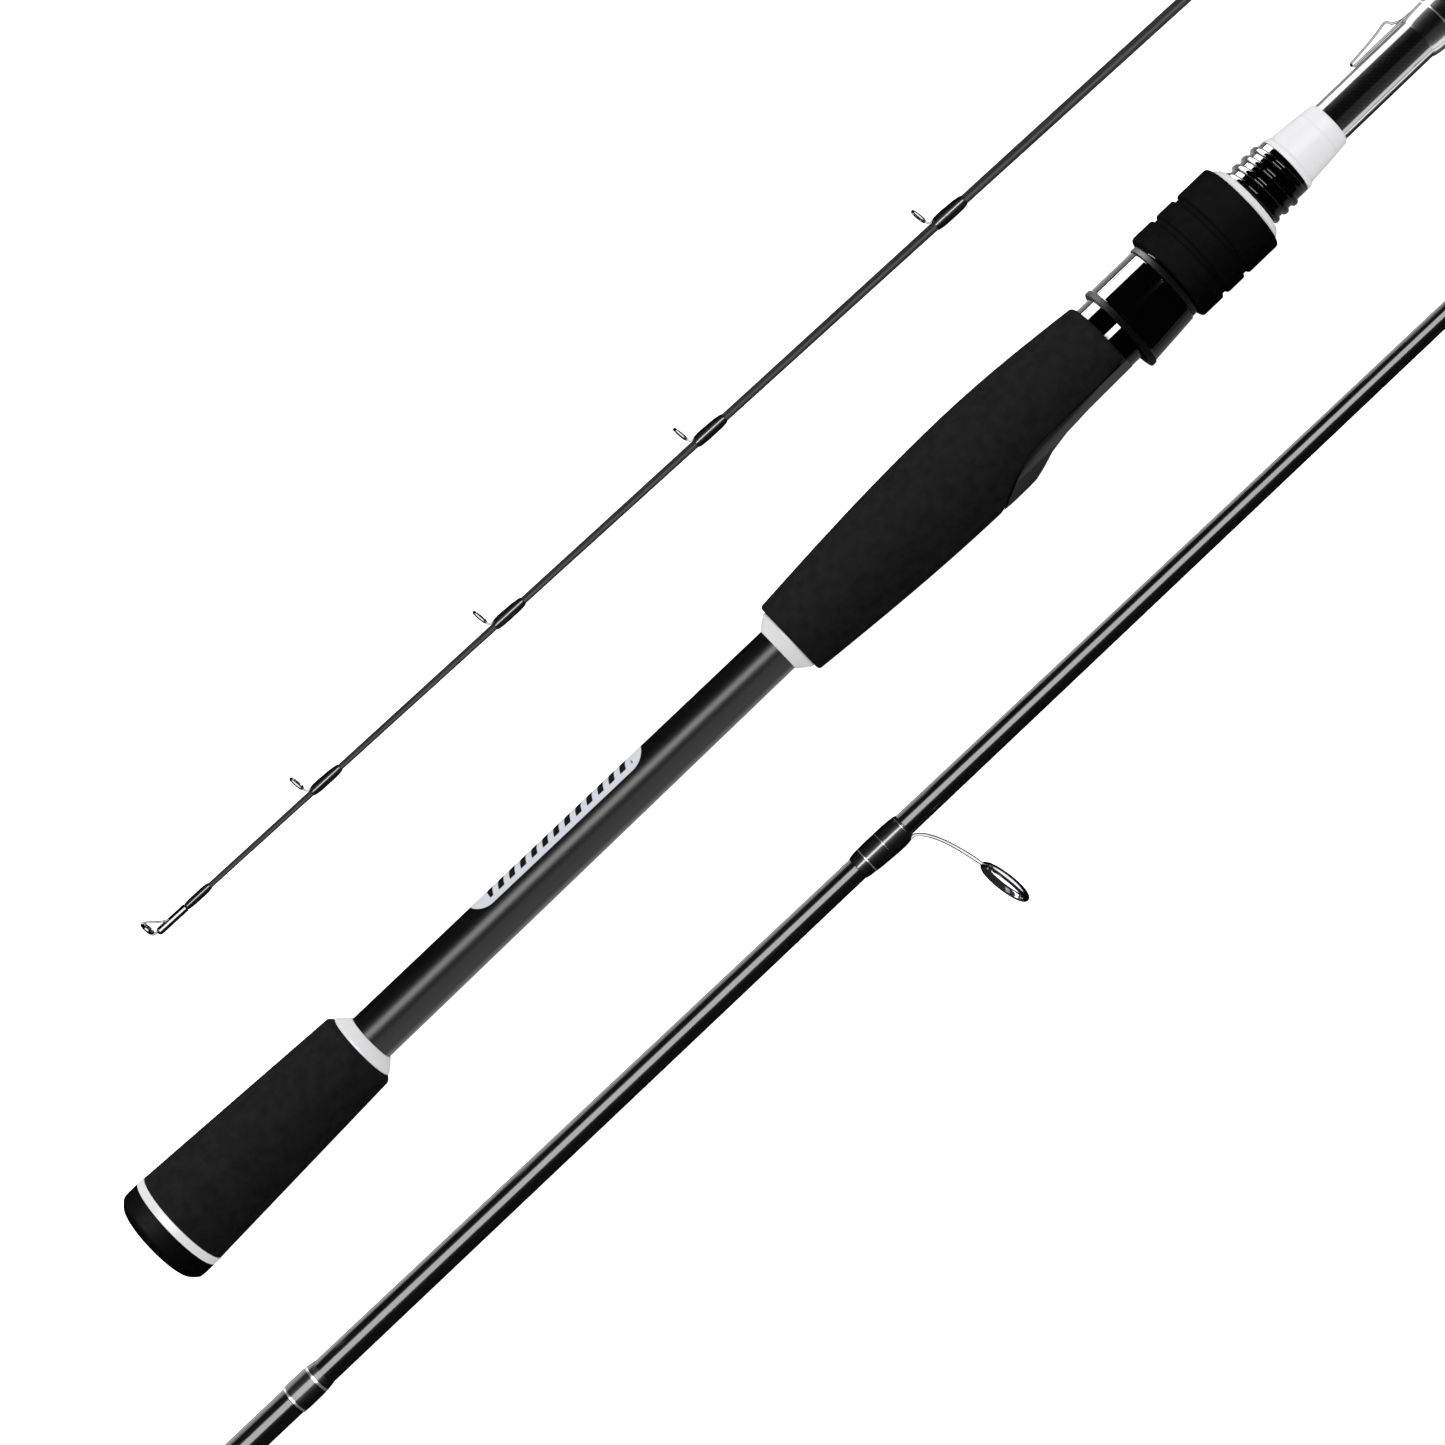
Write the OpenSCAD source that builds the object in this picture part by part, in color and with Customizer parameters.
// Three-piece spinning rod, taken down, its sections laid side by side on a flat surface.
// +X runs along the butt section from butt to tip, +Z is up, and the origin is the centre of
// the butt cap's end face. Guides and reel sit on the -Y side of the butt section.

/* [Handle] */
// Length of the rear grip, ring to ring
rear_grip_len = 62; // [50:1:90]
// Radius of the butt cap and the rear end of the rear grip
butt_r = 14; // [13:0.5:16]
// Radius of the rear grip at its front end
rear_grip_front_r = 11; // [9.5:0.1:12]
// Length of bare handle tube between the two grips
bare_tube_len = 140.8; // [80:0.1:200]
// Length of the front grip
front_grip_len = 107.8; // [95:0.1:125]
// Largest radius of the front grip
front_grip_r = 13.9; // [13:0.1:15]

/* [Reel seat] */
// Radius of the smooth barrel that the hood slides on
barrel_r = 9.75; // [9.5:0.05:10]
// Pitch of the seat thread, a right-hand one
thread_pitch = 3.1; // [2:0.1:4]
// Crest radius of the seat thread
thread_crest_r = 8.95; // [8.8:0.05:9]
// Length of the lock nut's foam grip
nut_len = 25.6; // [20:0.1:26]
// Radius of the lock nut's foam grip
nut_r = 13.1; // [12.5:0.1:14]

/* [Blank sections] */
// Length of the butt section without its spigot
butt_len = 652; // [620:1:700]
// Length of each spigot that shows
spigot_len = 48; // [40:1:60]
// Radius of the butt section's spigot
butt_spigot_r = 3.10; // [3:0.01:3.2]
// Radius of the middle section's spigot
middle_spigot_r = 1.72; // [1.6:0.01:1.8]
// Radial clearance of a spigot in its sleeve
spigot_gap = 0.03; // [0.02:0.01:0.08]
// Length of the middle section, sleeve mouth to blank end
middle_len = 642; // [600:1:700]
// Distance from the tip section's sleeve mouth to the tip-top ring
tip_len = 691; // [680:1:720]

/* [Guides] */
// Centre height of the stripper guide's ring above the blank axis
stripper_h = 36; // [30:1:42]
// Outer radius of the stripper guide's ring
stripper_ring_r = 13; // [11:0.5:13.5]
// Centre height of the first middle guide's ring
middle_guide_h = 27.8; // [24:0.1:30]
// Outer radius of the first middle guide's ring
middle_guide_ring_r = 7.5; // [6:0.1:7.5]
// Forward lean of the rings in degrees
ring_lean = 8; // [0:1:15]

/* [Layout] */
// Y of the middle section's sleeve mouth
middle_y = -52.5; // [-80:0.5:-50]
// Turn of the middle section on the surface, in degrees
middle_lay = -0.27; // [-1:0.01:0]
// Y of the tip section's sleeve mouth
tip_y = 39.3; // [38:0.1:80]
// Turn of the tip section on the surface, in degrees
tip_lay = -1.43; // [-2:0.01:0]

/* [Hidden] */
round_fn = 64;
bond = 0.05; // glue line between parts that are bonded one over the other
spigot_neck = 0.4; // how far a spigot's glued root and its neck are ground below its running radius
floor_z = -butt_r;

// stations along the butt section
cap_len = 6.9;
butt_ring_len = 2.3;
check_len = 3.5;
rear_grip_x = cap_len + butt_ring_len;
rear_check_x = rear_grip_x + rear_grip_len;
bare_tube_x = rear_check_x + check_len;
front_check_len = 4;
front_check_x = bare_tube_x + bare_tube_len;
front_grip_x = front_check_x + front_check_len;
front_grip_end = front_grip_x + front_grip_len;
seat_x = front_grip_x + 12.5;
handle_tube_x = 2.5;
handle_tube_end = seat_x + 30;
barrel_end = front_grip_end + 17.7;
seat_end = barrel_end + 45;
hood_x = front_grip_end + 4.5;
hood_len = 15.7;
collar_len = 1.8;
nut_x = hood_x + hood_len + collar_len + 0.3;
nut_ring_x = nut_x + nut_len;
sleeve_x = seat_end;
sleeve_len = 15.3;
keeper_x = 419;
keeper_wrap_x = 435.4;
stripper_x = 600;

handle_wall = 1.2;
handle_r_rear = 6.92;
handle_r_front = 6.05;
seat_bore_r = 6.9;
thread_root_r = 8.2;
hood_bore_r = barrel_r + 0.1;
nut_bore_r = thread_crest_r + 0.07;
nut_core_r = 11;
foot_half_w = 7.4; // half width of the channel that takes a reel foot
foot_roof_r = 12.1;
cheek_half_w = 8.8;
bed_edge_y = -7.75; // where the front grip is cut away to bare the seat

// sections: local +X to the tip, guides to local -Y, origin at the sleeve mouth
middle_x = -55;
middle_z = floor_z + middle_guide_ring_r + 0.1;
tip_x = 742;
tip_z = floor_z + 3.9;
sleeve_depth = 50;
middle_sleeve_r = 3.85;
middle_sleeve_len = 59;
tip_sleeve_r = 2.65;
tip_sleeve_len = 54;

// ring distance back from the tip-top, outer ring radius and centre height
tip_guides = [
    [52.8, 2.3, 4.3], [115.4, 2.3, 4.3], [183.9, 2.3, 4.4], [265.1, 2.35, 4.6],
    [357, 2.7, 5.4], [475, 3.2, 6.8], [612, 3.8, 8.8]
];

function between(a, b, u) = a + (b - a) * u;
function handle_r(x) = between(handle_r_rear, handle_r_front, x / handle_tube_end);
function butt_blank_r(x) = x < 450
    ? between(6, 5.62, (x - handle_tube_end) / (450 - handle_tube_end))
    : between(5.62, 4.15, (x - 450) / (butt_len - 450));
function middle_r(x) = between(3.56, 2.18, (x - 60) / (middle_len - 60));
function tip_r(x) = between(2.03, 0.72, (x - 50) / (tip_len - 60));

// ---- shapes shared by many parts ----

// solid of revolution about X from an outline of [x, radius] points
module turned(outline) {
    rotate([0, 90, 0]) rotate_extrude($fn = round_fn) polygon([for (p = outline) [p[1], p[0]]]);
}

// straight or tapered pipe along X
module pipe(x0, x1, r0, r1, bore0, bore1) {
    turned([[x0, bore0], [x0, r0], [x1, r1], [x1, bore1]]);
}

// bar swept along a path in the XY plane, with an oval section that may change on the way
module swept_bar(path, half_t, half_w, closed = false) {
    n = len(path);
    sides = 10;
    function at(i) = path[closed ? (i + n) % n : min(max(i, 0), n - 1)];
    function dir(i) = let (d = at(i + 1) - at(i - 1)) d / norm(d);
    points = [for (i = [0 : n - 1]) let (d = dir(i)) for (k = [0 : sides - 1])
        let (a = 360 * k / sides, s = half_t[i] * cos(a), w = half_w[i] * sin(a))
        [path[i][0] - d[1] * s, path[i][1] + d[0] * s, w]];
    rings = closed ? n : n - 1;
    skin = [for (i = [0 : rings - 1]) for (k = [0 : sides - 1])
        let (j = (i + 1) % n, m = (k + 1) % sides)
        [i * sides + k, j * sides + k, j * sides + m, i * sides + m]];
    ends = closed ? [] : [[for (k = [0 : sides - 1]) k],
                          [for (k = [sides - 1 : -1 : 0]) (n - 1) * sides + k]];
    polyhedron(points = points, faces = concat(skin, ends), convexity = 6);
}

// points on a quadratic curve from a to c that leaves and arrives towards b
function bend(a, b, c, steps) = [for (i = [0 : steps]) let (u = i / steps)
    (1 - u) * (1 - u) * a + 2 * u * (1 - u) * b + u * u * c];

// ring whose axis leans forward from X in the XY plane
module leaned(x, h, lean) {
    translate([x, -h, 0]) rotate([0, 0, lean]) children();
}

// metal ring of a guide, with its tube as thick as wall along the radius
module frame_ring(x, h, r, lean, wall, width) {
    leaned(x, h, lean) turned([
        [-width / 2, r - wall], [-width / 2, r - wall * 0.35], [-width / 4, r],
        [width / 4, r], [width / 2, r - wall * 0.35], [width / 2, r - wall]
    ]);
}

// ceramic insert of a guide, with a straight land in the middle of its bore
module ring_insert(x, h, r, lean, wall, width) {
    bore = r - wall;
    leaned(x, h, lean) turned([
        [-width / 2, r - wall * 0.35], [-width / 2, r], [width / 2, r],
        [width / 2, r - wall * 0.35], [width / 4, bore], [-width / 4, bore]
    ]);
}

// foot of a single-foot guide: a flat strip on the blank, running back from front_x
module guide_foot(front_x, foot_len, blank_r, thick, half_w, grow = 0) {
    y0 = -(blank_r + bond + thick / 2);
    path = [[front_x, y0], [front_x - foot_len * 0.5, y0], [front_x - foot_len, y0 + thick * 0.25]];
    swept_bar([for (p = path) p], [for (k = [0.5, 0.5, 0.22]) thick * k + grow],
              [for (k = [1, 1, 0.5]) half_w * k + grow]);
}

// frame of a single-foot guide: foot, one leg that sweeps out and forward, and the ring
module single_foot_frame(ring_x, h, r, lean, wall, front_x, foot_len, blank_r, thick, half_w) {
    reach = h - r + wall / 2;
    seat_y = -(blank_r + bond + thick / 2);
    near_x = ring_x - sin(lean) * (r - wall / 2);
    leg = bend([front_x - thick, seat_y], [between(front_x, near_x, 0.55), seat_y - 0.15 * reach],
               [near_x, -reach], 8);
    frame_ring(ring_x, h, r, lean, wall, wall * 2);
    swept_bar(leg, [for (p = leg) thick / 2], [for (i = [0 : 8]) between(half_w, wall * 0.9, i / 8)]);
    guide_foot(front_x, foot_len, blank_r, thick, half_w);
}

// thread wrap over a blank: a slim spindle that is highest over the foot
module wrap_shell(x0, x1, r0, r1, build, bore_grow = bond) {
    len_x = x1 - x0;
    turned([
        [x0, r0 + bore_grow], [x0, r0 + build * 0.35], [x0 + len_x * 0.12, r0 + build * 0.8],
        [x0 + len_x * 0.5, (r0 + r1) / 2 + build], [x1 - len_x * 0.12, r1 + build],
        [x1, r1 + build * 0.4], [x1, r1 + bore_grow]
    ]);
}

module lay_middle() {
    translate([middle_x, middle_y, middle_z]) rotate([0, 0, middle_lay]) children();
}

module lay_tip() {
    translate([tip_x, tip_y, tip_z]) rotate([0, 0, 180 + tip_lay]) children();
}

// ---- handle ----

module butt_cap() {
    lip = 2.2;
    color("#151515") turned([
        [0, 0], [0, butt_r - lip - 0.6], [0.5, butt_r - lip + 0.8], [lip, butt_r - 0.25],
        [lip + 1.4, butt_r], [cap_len, butt_r], [cap_len, handle_r(cap_len) + bond],
        [handle_tube_x, handle_r(handle_tube_x) + bond], [handle_tube_x, 0]
    ]);
}

module butt_ring() {
    bore = handle_r(cap_len) + bond;
    color("silver") pipe(cap_len, rear_grip_x, butt_r, butt_r, bore, bore);
}

module rear_grip() {
    end = rear_check_x;
    color("#161616") turned([
        [rear_grip_x, handle_r(rear_grip_x) + bond], [rear_grip_x, butt_r - 0.15],
        [end - 1.6, rear_grip_front_r], [end - 0.4, rear_grip_front_r - 0.5],
        [end, rear_grip_front_r - 1.2], [end, handle_r(end) + bond]
    ]);
}

module cone_check(x0, x1, r0, r1, rim) {
    turned([
        [x0, handle_r(x0) + bond], [x0, r0], [x0 + rim, r0],
        [x1, r1], [x1, handle_r(x1) + bond]
    ]);
}

module rear_grip_check() {
    color("silver") cone_check(rear_check_x, bare_tube_x, 9.6, handle_r(bare_tube_x) + 0.35, 0.5);
}

module handle_tube() {
    x0 = handle_tube_x;
    x1 = handle_tube_end;
    color("#3a3a3c") pipe(x0, x1, handle_r(x0), handle_r(x1),
                          handle_r(x0) - handle_wall, handle_r(x1) - handle_wall);
}

module handle_joint_plug() {
    r = handle_r(handle_tube_end) - handle_wall - 0.1;
    color("#202020") pipe(handle_tube_end - 20, handle_tube_end + 20, r, r - 0.1, r - 1.5, r - 1.5);
}

module front_grip_check() {
    x0 = front_check_x;
    x1 = front_grip_x;
    color("silver") turned([
        [x0, handle_r(x0) + bond], [x0, handle_r(x0) + 0.3], [x1 - 0.6, 9],
        [x1, 9], [x1, handle_r(x1) + bond]
    ]);
}

// the grip swells to its largest radius at 59 % of its length, then falls away to the seat
function front_grip_outline() = let (x0 = front_grip_x, peak = x0 + front_grip_len * 0.59,
        end = front_grip_end, steps = 8) concat(
    [for (i = [0 : steps]) let (u = i / steps)
        [between(x0, peak, u), between(10.7, front_grip_r, sin(90 * u))]],
    [for (i = [1 : steps - 1]) let (u = i / steps)
        [between(peak, end, u), front_grip_r - 2.75 * (1 - cos(90 * u))]],
    [[end - 1, 11.1], [end, 10.1]]);

// plan outline of what is cut from the grip on the reel side, to bare the seat
function cut_outline(gap) = [
    [front_grip_x + 60.5, -40], [front_grip_x + 60.5, -14 - gap],
    [front_grip_x + 68.5, -10.2 - gap], [front_grip_x + 73.5, -8.3 - gap],
    [front_grip_x + 78, bed_edge_y - gap], [front_grip_end + 5, bed_edge_y - gap],
    [front_grip_end + 5, -40]];

// moulded core of the seat under the front grip, which ties the cheeks to the barrel
module seat_core(grow) {
    x0 = front_grip_x + 60.7 - grow;
    intersection() {
        translate([x0, -12, -cheek_half_w - grow])
            cube([front_grip_end - 1 + grow - x0, 8, 2 * (cheek_half_w + grow)]);
        pipe(seat_x, front_grip_end, 11.2 + grow, 11.2 + grow, 6, 6);
    }
}

module front_grip() {
    bore = handle_r(front_grip_x) + bond;
    color("#161616") difference() {
        turned(concat([[front_grip_x, bore]], front_grip_outline(),
                      [[front_grip_end, barrel_r + bond], [seat_x - bond, barrel_r + bond],
                       [seat_x - bond, bore]]));
        translate([0, 0, -20]) linear_extrude(40) polygon(cut_outline(0));
        seat_core(bond);
    }
}

// ---- reel seat ----

// plan outline of the finger rest and the cheeks that stand along the reel foot
function rest_outline() = let (x0 = front_grip_x) concat(
    [[x0 + 60.7, -13.8], [x0 + 64, -14], [x0 + 69, -14], [x0 + 72, -13.8], [x0 + 75, -12.95],
     [x0 + 79, -11.5], [x0 + 84.5, -10.6], [x0 + 93, -10.1], [front_grip_end, -9.8]],
    [[front_grip_end, -5], [x0 + 60.7, -5]]);

module reel_seat() {
    x_pocket = front_grip_x + 66;
    color("#1c1c1e") difference() {
        union() {
            pipe(seat_x, barrel_end, barrel_r, barrel_r, 5, 5);
            pipe(barrel_end - 1, seat_end, thread_root_r, thread_root_r, 5, 5);
            seat_core(0);
            intersection() {
                translate([0, 0, -cheek_half_w]) linear_extrude(2 * cheek_half_w)
                    polygon(rest_outline());
                translate([0, 0, -20]) linear_extrude(40) polygon(cut_outline(bond));
                pipe(seat_x, front_grip_end, 14, 14, 6, 6);
            }
        }
        intersection() {
            translate([x_pocket, -30, -foot_half_w])
                cube([front_grip_end - x_pocket, 30, 2 * foot_half_w]);
            pipe(x_pocket, front_grip_end, foot_roof_r, foot_roof_r, barrel_r, barrel_r);
        }
        pipe(seat_x - 1, seat_end + 1, seat_bore_r, seat_bore_r, 0, 0);
    }
}

module seat_thread() {
    steps = 30;
    x0 = barrel_end + 1.6;
    turns = floor((seat_end - 1.2 - x0) / thread_pitch * 4) / 4;
    count = turns * steps;
    foot = 0.95;
    crest = 0.45;
    // the ridge fades in and out over its first and last eighth of a turn
    function rise(i) = min(1, i / (steps / 8), (count - i) / (steps / 8));
    section = [[-foot, 0], [-crest, 1], [crest, 1], [foot, 0]];
    points = [for (i = [0 : count]) let (a = 360 * i / steps, x = x0 + thread_pitch * i / steps)
        for (s = section) let (r = s[1] == 0 ? thread_root_r - 0.15
            : between(thread_root_r, thread_crest_r, max(0.1, rise(i))))
        [x + s[0], r * cos(a), r * sin(a)]];
    skin = [for (i = [0 : count - 1]) for (k = [0 : 3]) let (m = (k + 1) % 4)
        [i * 4 + m, i * 4 + k, i * 4 + 4 + k, i * 4 + 4 + m]];
    color("#0c0c0c") polyhedron(points = points,
        faces = concat(skin, [[0, 1, 2, 3], [for (k = [3 : -1 : 0]) count * 4 + k]]), convexity = 10);
}

module seat_arbor_rear() {
    x0 = seat_x + 4;
    color("tan") pipe(x0, x0 + 22, seat_bore_r - bond, seat_bore_r - bond,
                      handle_r(x0) + bond, handle_r(x0 + 22) + bond);
}

module seat_arbor_front() {
    x0 = seat_end - 24;
    color("tan") pipe(x0, x0 + 22, seat_bore_r - bond, seat_bore_r - bond,
                      butt_blank_r(x0) + bond, butt_blank_r(x0 + 22) + bond);
}

module seat_sleeve() {
    x0 = sleeve_x;
    bore = butt_blank_r(x0) + bond;
    color("whitesmoke") turned([
        [x0, bore], [x0, 8.2], [x0 + 1.2, 8.2], [x0 + 1.9, 7.6], [x0 + 11, 6.85], [x0 + 11.2, 6.7],
        [x0 + 11.5, 6.75], [x0 + sleeve_len - 0.8, 6.45], [x0 + sleeve_len, 6.1],
        [x0 + sleeve_len, bore]
    ]);
}

// a cylinder that leans so that its reel side falls from 13 mm at the hood's mouth to 11.6 mm
module hood_lobe(r) {
    lean = 5;
    translate([hood_x, -2.1, 0]) rotate([0, 90, 0]) rotate([-lean, 0, 0])
        translate([0, 0, -5]) cylinder(r = r, h = hood_len + 10, $fn = round_fn);
}

module hood() {
    rim = 1.6;
    end = hood_x + hood_len;
    color("#0d0d0e") difference() {
        union() {
            pipe(hood_x, end, 10.9, 10.9, 5, 5);
            pipe(hood_x, hood_x + rim, 11.3, 11.3, 5, 5);
            intersection() {
                hood_lobe(10.9);
                pipe(hood_x, end, 20, 20, 0, 0);
            }
            intersection() {
                hood_lobe(11.3);
                pipe(hood_x, hood_x + rim, 20, 20, 0, 0);
            }
        }
        pipe(hood_x - 1, end + 1, hood_bore_r, hood_bore_r, 0, 0);
        intersection() {
            hood_lobe(9.6);
            translate([hood_x - 1, -30, -foot_half_w]) cube([hood_len - 2, 30, 2 * foot_half_w]);
        }
    }
}

module hood_collar() {
    x0 = hood_x + hood_len;
    color("#3c3c3e") turned([
        [x0, hood_bore_r], [x0, 11.3], [x0 + collar_len - 0.4, 11.3],
        [x0 + collar_len, 10.9], [x0 + collar_len, hood_bore_r]
    ]);
}

module lock_nut_core() {
    color("#202022") pipe(nut_x + 0.4, nut_ring_x, nut_core_r, nut_core_r, nut_bore_r, nut_bore_r);
}

module lock_nut_grip() {
    bore = nut_core_r + bond;
    corner = 1.4;
    groove_d = 0.8;
    // one waist groove, given by the station of its middle
    function groove(x) = [[x - 1, nut_r], [x - 0.5, nut_r - groove_d],
                          [x + 0.5, nut_r - groove_d], [x + 1, nut_r]];
    color("#171717") turned(concat(
        [[nut_x, bore], [nut_x, nut_r - corner], [nut_x + corner, nut_r]],
        groove(nut_x + nut_len * 0.3), groove(nut_x + nut_len * 0.58),
        [[nut_ring_x - corner, nut_r], [nut_ring_x, nut_r - corner], [nut_ring_x, bore]]));
}

module lock_nut_ring() {
    x0 = nut_ring_x;
    color("whitesmoke") turned([
        [x0, nut_bore_r], [x0, 11.4], [x0 + 0.8, 11.4], [x0 + 2.2, 10.1], [x0 + 2.2, nut_bore_r]
    ]);
}

// ---- butt blank ----

module butt_blank() {
    wall = 1.15;
    x0 = handle_tube_end;
    color("#101012") turned([
        [x0, butt_blank_r(x0) - wall], [x0, butt_blank_r(x0)], [450, butt_blank_r(450)],
        [butt_len, butt_blank_r(butt_len)], [butt_len, butt_spigot_r - spigot_neck + bond],
        [butt_len - 40, butt_spigot_r - spigot_neck + bond], [450, butt_blank_r(450) - wall]
    ]);
}

// wire hook keeper: a triangle of wire whose two tails run under the wrap
module hook_keeper_wire() {
    wire = 0.36;
    surface = butt_blank_r(keeper_x) + wire + bond;
    tail = [keeper_wrap_x + 7, surface];
    high = concat([[keeper_x, surface + 0.1], [keeper_x + 5.5, surface + 1.5]],
        bend([keeper_x + 11, 8.6], [keeper_x + 13.2, 9.5], [keeper_x + 14.4, 7.6], 4),
        bend([keeper_x + 14.8, surface + 0.9], [keeper_x + 15.2, surface + 0.1],
             [keeper_x + 16.6, surface], 2), [tail]);
    low = [[keeper_x, surface], [keeper_x + 8, surface], tail];
    color("silver") {
        translate([0, 0, -0.25]) swept_bar(high, [for (p = high) wire], [for (p = high) wire]);
        translate([0, 0, 0.25]) swept_bar(low, [for (p = low) wire], [for (p = low) wire]);
    }
}

module hook_keeper_wrap() {
    x1 = keeper_wrap_x + 26;
    color("#0b0b0b") difference() {
        wrap_shell(keeper_wrap_x, x1, butt_blank_r(keeper_wrap_x), butt_blank_r(x1), 0.95);
        translate([keeper_wrap_x - 1, butt_blank_r(keeper_x) - 0.8, -0.75])
            cube([9, 2.6, 1.5]);
    }
}

module stripper_frame() {
    x = stripper_x;
    r = stripper_ring_r;
    b = butt_blank_r(x);
    seat_y = -(b + bond + 0.6);
    ring_y = -(stripper_h - r + 0.6);
    front = bend([x + 30, seat_y], [x + 12, seat_y - 2], [x - 1.2, ring_y], 8);
    back = bend([x - 26, seat_y], [x - 8, seat_y - 2], [x - 2.4, ring_y], 8);
    color("silver") {
        frame_ring(x, stripper_h, r, ring_lean, 1.2, 2.6);
        for (leg = [front, back])
            swept_bar(leg, [for (p = leg) 0.6], [for (i = [0 : 8]) between(1.7, 1.3, i / 8)]);
    }
}

module stripper_insert() {
    color("#26262a") ring_insert(stripper_x, stripper_h, stripper_ring_r - 1.2 - 0.02, ring_lean, 1.1, 3.2);
}

module stripper_wraps() {
    x = stripper_x;
    color("#0b0b0b") difference() {
        union() {
            wrap_shell(x - 34, x - 17, butt_blank_r(x - 34), butt_blank_r(x - 17), 1.75);
            wrap_shell(x + 18, x + 38, butt_blank_r(x + 18), butt_blank_r(x + 38), 1.75);
        }
        translate([x - 28, -20, -1.8]) cube([12, 20 - butt_blank_r(x) + 0.4, 3.6]);
        translate([x + 17, -20, -1.8]) cube([14, 20 - butt_blank_r(x) + 0.4, 3.6]);
    }
}

module butt_end_wrap() {
    x0 = butt_len - 14;
    color("#0b0b0b") wrap_shell(x0, butt_len - 1, butt_blank_r(x0), butt_blank_r(butt_len), 0.45);
}

// ground spigot: a root glued in the blank, a short neck at its mouth, then the running length
module spigot(blank_end, root_len, r) {
    end = blank_end + spigot_len;
    turned([
        [blank_end - root_len, 0], [blank_end - root_len, r - spigot_neck],
        [blank_end + 1, r - spigot_neck], [blank_end + 1, r], [end - 1, r],
        [end, r * 0.8], [end, 0]
    ]);
}

module butt_spigot() {
    color("#2b2b2e") spigot(butt_len, 38, butt_spigot_r);
}

// ---- middle section, in its own frame ----

module middle_blank() {
    x0 = sleeve_depth + 1;
    bore = middle_spigot_r - spigot_neck + 0.02;
    color("#101012") lay_middle() turned([
        [x0, middle_r(x0) - 0.6], [x0, middle_r(x0)], [middle_len, middle_r(middle_len)],
        [middle_len, bore], [middle_len - 30, bore],
        [middle_len - 30.5, middle_r(middle_len) - 0.6 + 0.07]
    ]);
}

module ferrule_sleeve(len_x, r, depth, bore, blank_end_r) {
    turned([
        [0, bore], [0, r - 0.15], [0.3, r], [len_x - 1, r], [len_x, blank_end_r + bond + 0.1],
        [len_x, blank_end_r + bond], [depth + 0.9, blank_end_r + bond], [depth + 0.9, bore]
    ]);
}

module middle_sleeve() {
    color("#131315") lay_middle() ferrule_sleeve(middle_sleeve_len, middle_sleeve_r, sleeve_depth,
        butt_spigot_r + spigot_gap, middle_r(sleeve_depth + 1));
}

module middle_sleeve_wrap() {
    color("#0b0b0b") lay_middle() turned([
        [51.2, middle_sleeve_r + bond], [51.4, 4.05], [53, 4.15], [58, 4.1], [60, 3.95],
        [61.6, middle_r(61) + 0.2], [61.8, middle_r(51) + bond], [middle_sleeve_len, middle_r(51) + bond],
        [middle_sleeve_len, middle_sleeve_r + bond]
    ]);
}

module middle_end_wrap() {
    x0 = middle_len - 12;
    color("#0b0b0b") lay_middle()
        wrap_shell(x0, middle_len - 1, middle_r(x0), middle_r(middle_len), 0.35);
}

module middle_spigot() {
    color("#2b2b2e") lay_middle() spigot(middle_len, 29, middle_spigot_r);
}

// [ring x, centre height, ring radius, tube wall, front of the foot, foot length, strip thickness, half width]
middle_guides = [
    [271.6, middle_guide_h, middle_guide_ring_r, 0.75, 263, 13, 0.8, 1.3],
    [500, 18, 5.5, 0.65, 494, 11, 0.7, 1.1]
];

module middle_guide_frame(i) {
    g = middle_guides[i];
    color("silver") lay_middle() single_foot_frame(g[0], g[1], g[2], ring_lean, g[3], g[4], g[5],
                                                   middle_r(g[4] - g[5]), g[6], g[7]);
}

module middle_guide_insert(i) {
    g = middle_guides[i];
    color("#26262a") lay_middle() ring_insert(g[0], g[1], g[2] - g[3] - 0.02, ring_lean, g[3], g[3] * 2.6);
}

module middle_guide_wrap(i) {
    g = middle_guides[i];
    x0 = g[4] - g[5] - 3;
    x1 = g[4];
    color("#0b0b0b") lay_middle() difference() {
        wrap_shell(x0, x1, middle_r(x0), middle_r(x1), g[6] + 0.5);
        guide_foot(x1 + 1, g[5] + 1, middle_r(x1 - g[5]), g[6], g[7], 0.04);
    }
}

// ---- tip section, in its own frame ----

module tip_blank() {
    x0 = sleeve_depth + 1;
    x1 = tip_len - 2.4;
    color("#2a2a2c") lay_tip() turned([[x0, 0], [x0, tip_r(x0)], [x1, tip_r(x1)], [x1, 0]]);
}

module tip_sleeve() {
    color("#131315") lay_tip() ferrule_sleeve(tip_sleeve_len, tip_sleeve_r, sleeve_depth,
        middle_spigot_r + spigot_gap, tip_r(sleeve_depth + 1));
}

module tip_sleeve_wrap() {
    r = tip_r(sleeve_depth + 1);
    color("#0b0b0b") lay_tip() turned([
        [47.5, tip_sleeve_r + bond], [47.7, 2.85], [50, 2.95], [53.5, 2.9], [56.5, r + 0.35],
        [57, r + 0.1], [57, r + bond], [tip_sleeve_len, r + bond],
        [tip_sleeve_len, tip_sleeve_r + bond]
    ]);
}

top_tube_x = tip_len - 10.9;
top_tube_r = tip_r(tip_len - 11) + 0.3;
top_ring_h = 2.5;
top_ring_r = 2.1;
top_wall = 0.45;

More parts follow.
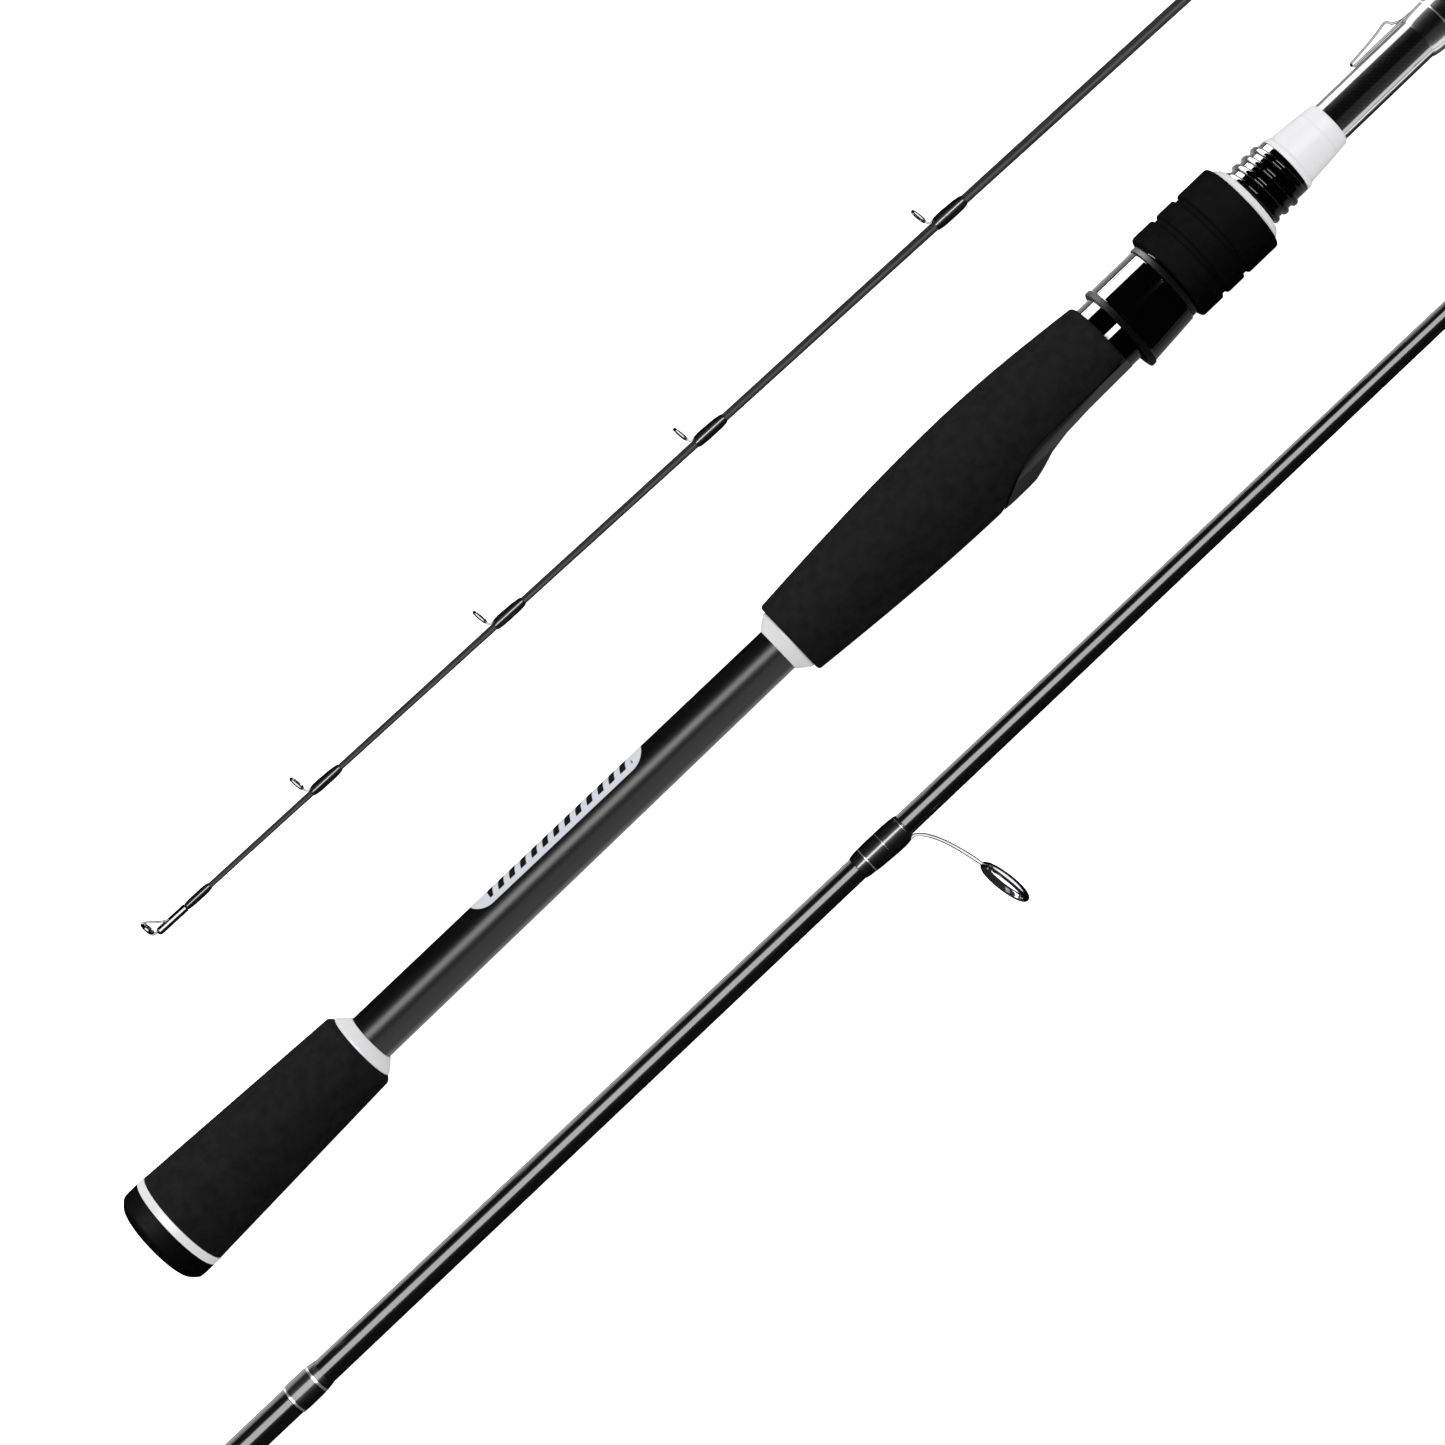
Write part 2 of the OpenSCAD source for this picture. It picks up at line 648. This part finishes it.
module tip_top_frame() {
    bore = tip_r(top_tube_x) + 0.03;
    // two struts brace the ring back to the tube
    strut = bend([top_tube_x + 5.5, -top_tube_r + 0.1], [tip_len - 3, -top_tube_r - 0.4],
                 [tip_len - 0.3, -top_ring_h - top_ring_r + top_wall / 2], 5);
    color("silver") lay_tip() {
        turned([[top_tube_x, bore], [top_tube_x, top_tube_r], [tip_len - 2.1, top_tube_r],
                [tip_len - 1.4, top_tube_r - 0.4], [tip_len - 1.4, 0], [tip_len - 2.3, 0],
                [tip_len - 2.3, bore]]);
        frame_ring(tip_len, top_ring_h, top_ring_r, ring_lean, top_wall, 0.9);
        swept_bar([[tip_len - 2, -0.1], [tip_len + 0.1, -0.5]], [0.3, 0.3], [0.6, 0.6]);
        for (side = [-1, 1]) translate([0, 0, side * 0.9])
            swept_bar([for (p = strut) p], [for (p = strut) 0.25], [for (p = strut) 0.25]);
    }
}

module tip_top_insert() {
    color("#26262a") lay_tip() ring_insert(tip_len, top_ring_h, top_ring_r - top_wall - 0.02,
                                           ring_lean, 0.4, 1.3);
}

module tip_top_wrap() {
    x0 = top_tube_x - 8.3;
    x1 = top_tube_x - 0.1;
    color("#0b0b0b") lay_tip() wrap_shell(x0, x1, tip_r(x0), tip_r(x1), 0.4, 0.03);
}

tip_wall = 0.42;
tip_thick = 0.42;
tip_half_w = 0.55;
// foot front and length of tip guide i, in the section's frame
function guide_x(i) = tip_len - tip_guides[i][0];
function foot_front(i) = guide_x(i) - 0.9 * (tip_guides[i][2] - 3.4);
function foot_len(i) = 7 + 0.6 * tip_guides[i][1];

module tip_guide_frame(i) {
    g = tip_guides[i];
    color("silver") lay_tip() single_foot_frame(guide_x(i), g[2], g[1], ring_lean, tip_wall,
        foot_front(i), foot_len(i), tip_r(foot_front(i) - foot_len(i)), tip_thick, tip_half_w);
}

module tip_guide_insert(i) {
    g = tip_guides[i];
    color("#26262a") lay_tip() ring_insert(guide_x(i), g[2], g[1] - tip_wall - 0.02,
                                           ring_lean, tip_wall, tip_wall * 2.6);
}

module tip_guide_wraps() {
    color("#0b0b0b") lay_tip() for (i = [0 : len(tip_guides) - 1]) {
        x1 = foot_front(i) - 0.4;
        x0 = x1 - foot_len(i) - 1.4;
        difference() {
            wrap_shell(x0, x1, tip_r(x0), tip_r(x1), tip_thick + 0.25, 0.03);
            guide_foot(x1 + 1, foot_len(i) + 1, tip_r(x1 - foot_len(i)), tip_thick, tip_half_w, 0.04);
        }
    }
}

// ---- nodes ----

butt_cap();
butt_ring();
rear_grip();
rear_grip_check();
handle_tube();
handle_joint_plug();
front_grip_check();
front_grip();
reel_seat();
seat_thread();
seat_arbor_rear();
seat_arbor_front();
seat_sleeve();
butt_blank();
hook_keeper_wire();
hook_keeper_wrap();
stripper_frame();
stripper_insert();
stripper_wraps();
butt_end_wrap();
butt_spigot();
hood();
hood_collar();
lock_nut_core();
lock_nut_grip();
lock_nut_ring();
middle_blank();
middle_sleeve();
middle_sleeve_wrap();
middle_end_wrap();
middle_spigot();
middle_guide_frame(0);  // middle_guide_1_frame
middle_guide_insert(0);  // middle_guide_1_insert
middle_guide_wrap(0);  // middle_guide_1_wrap
middle_guide_frame(1);  // middle_guide_2_frame
middle_guide_insert(1);  // middle_guide_2_insert
middle_guide_wrap(1);  // middle_guide_2_wrap
tip_blank();
tip_sleeve();
tip_sleeve_wrap();
tip_top_frame();
tip_top_insert();
tip_top_wrap();
tip_guide_wraps();
for (i = [1 : len(tip_guides)]) {
    tip_guide_frame(i - 1);
    tip_guide_insert(i - 1);
}
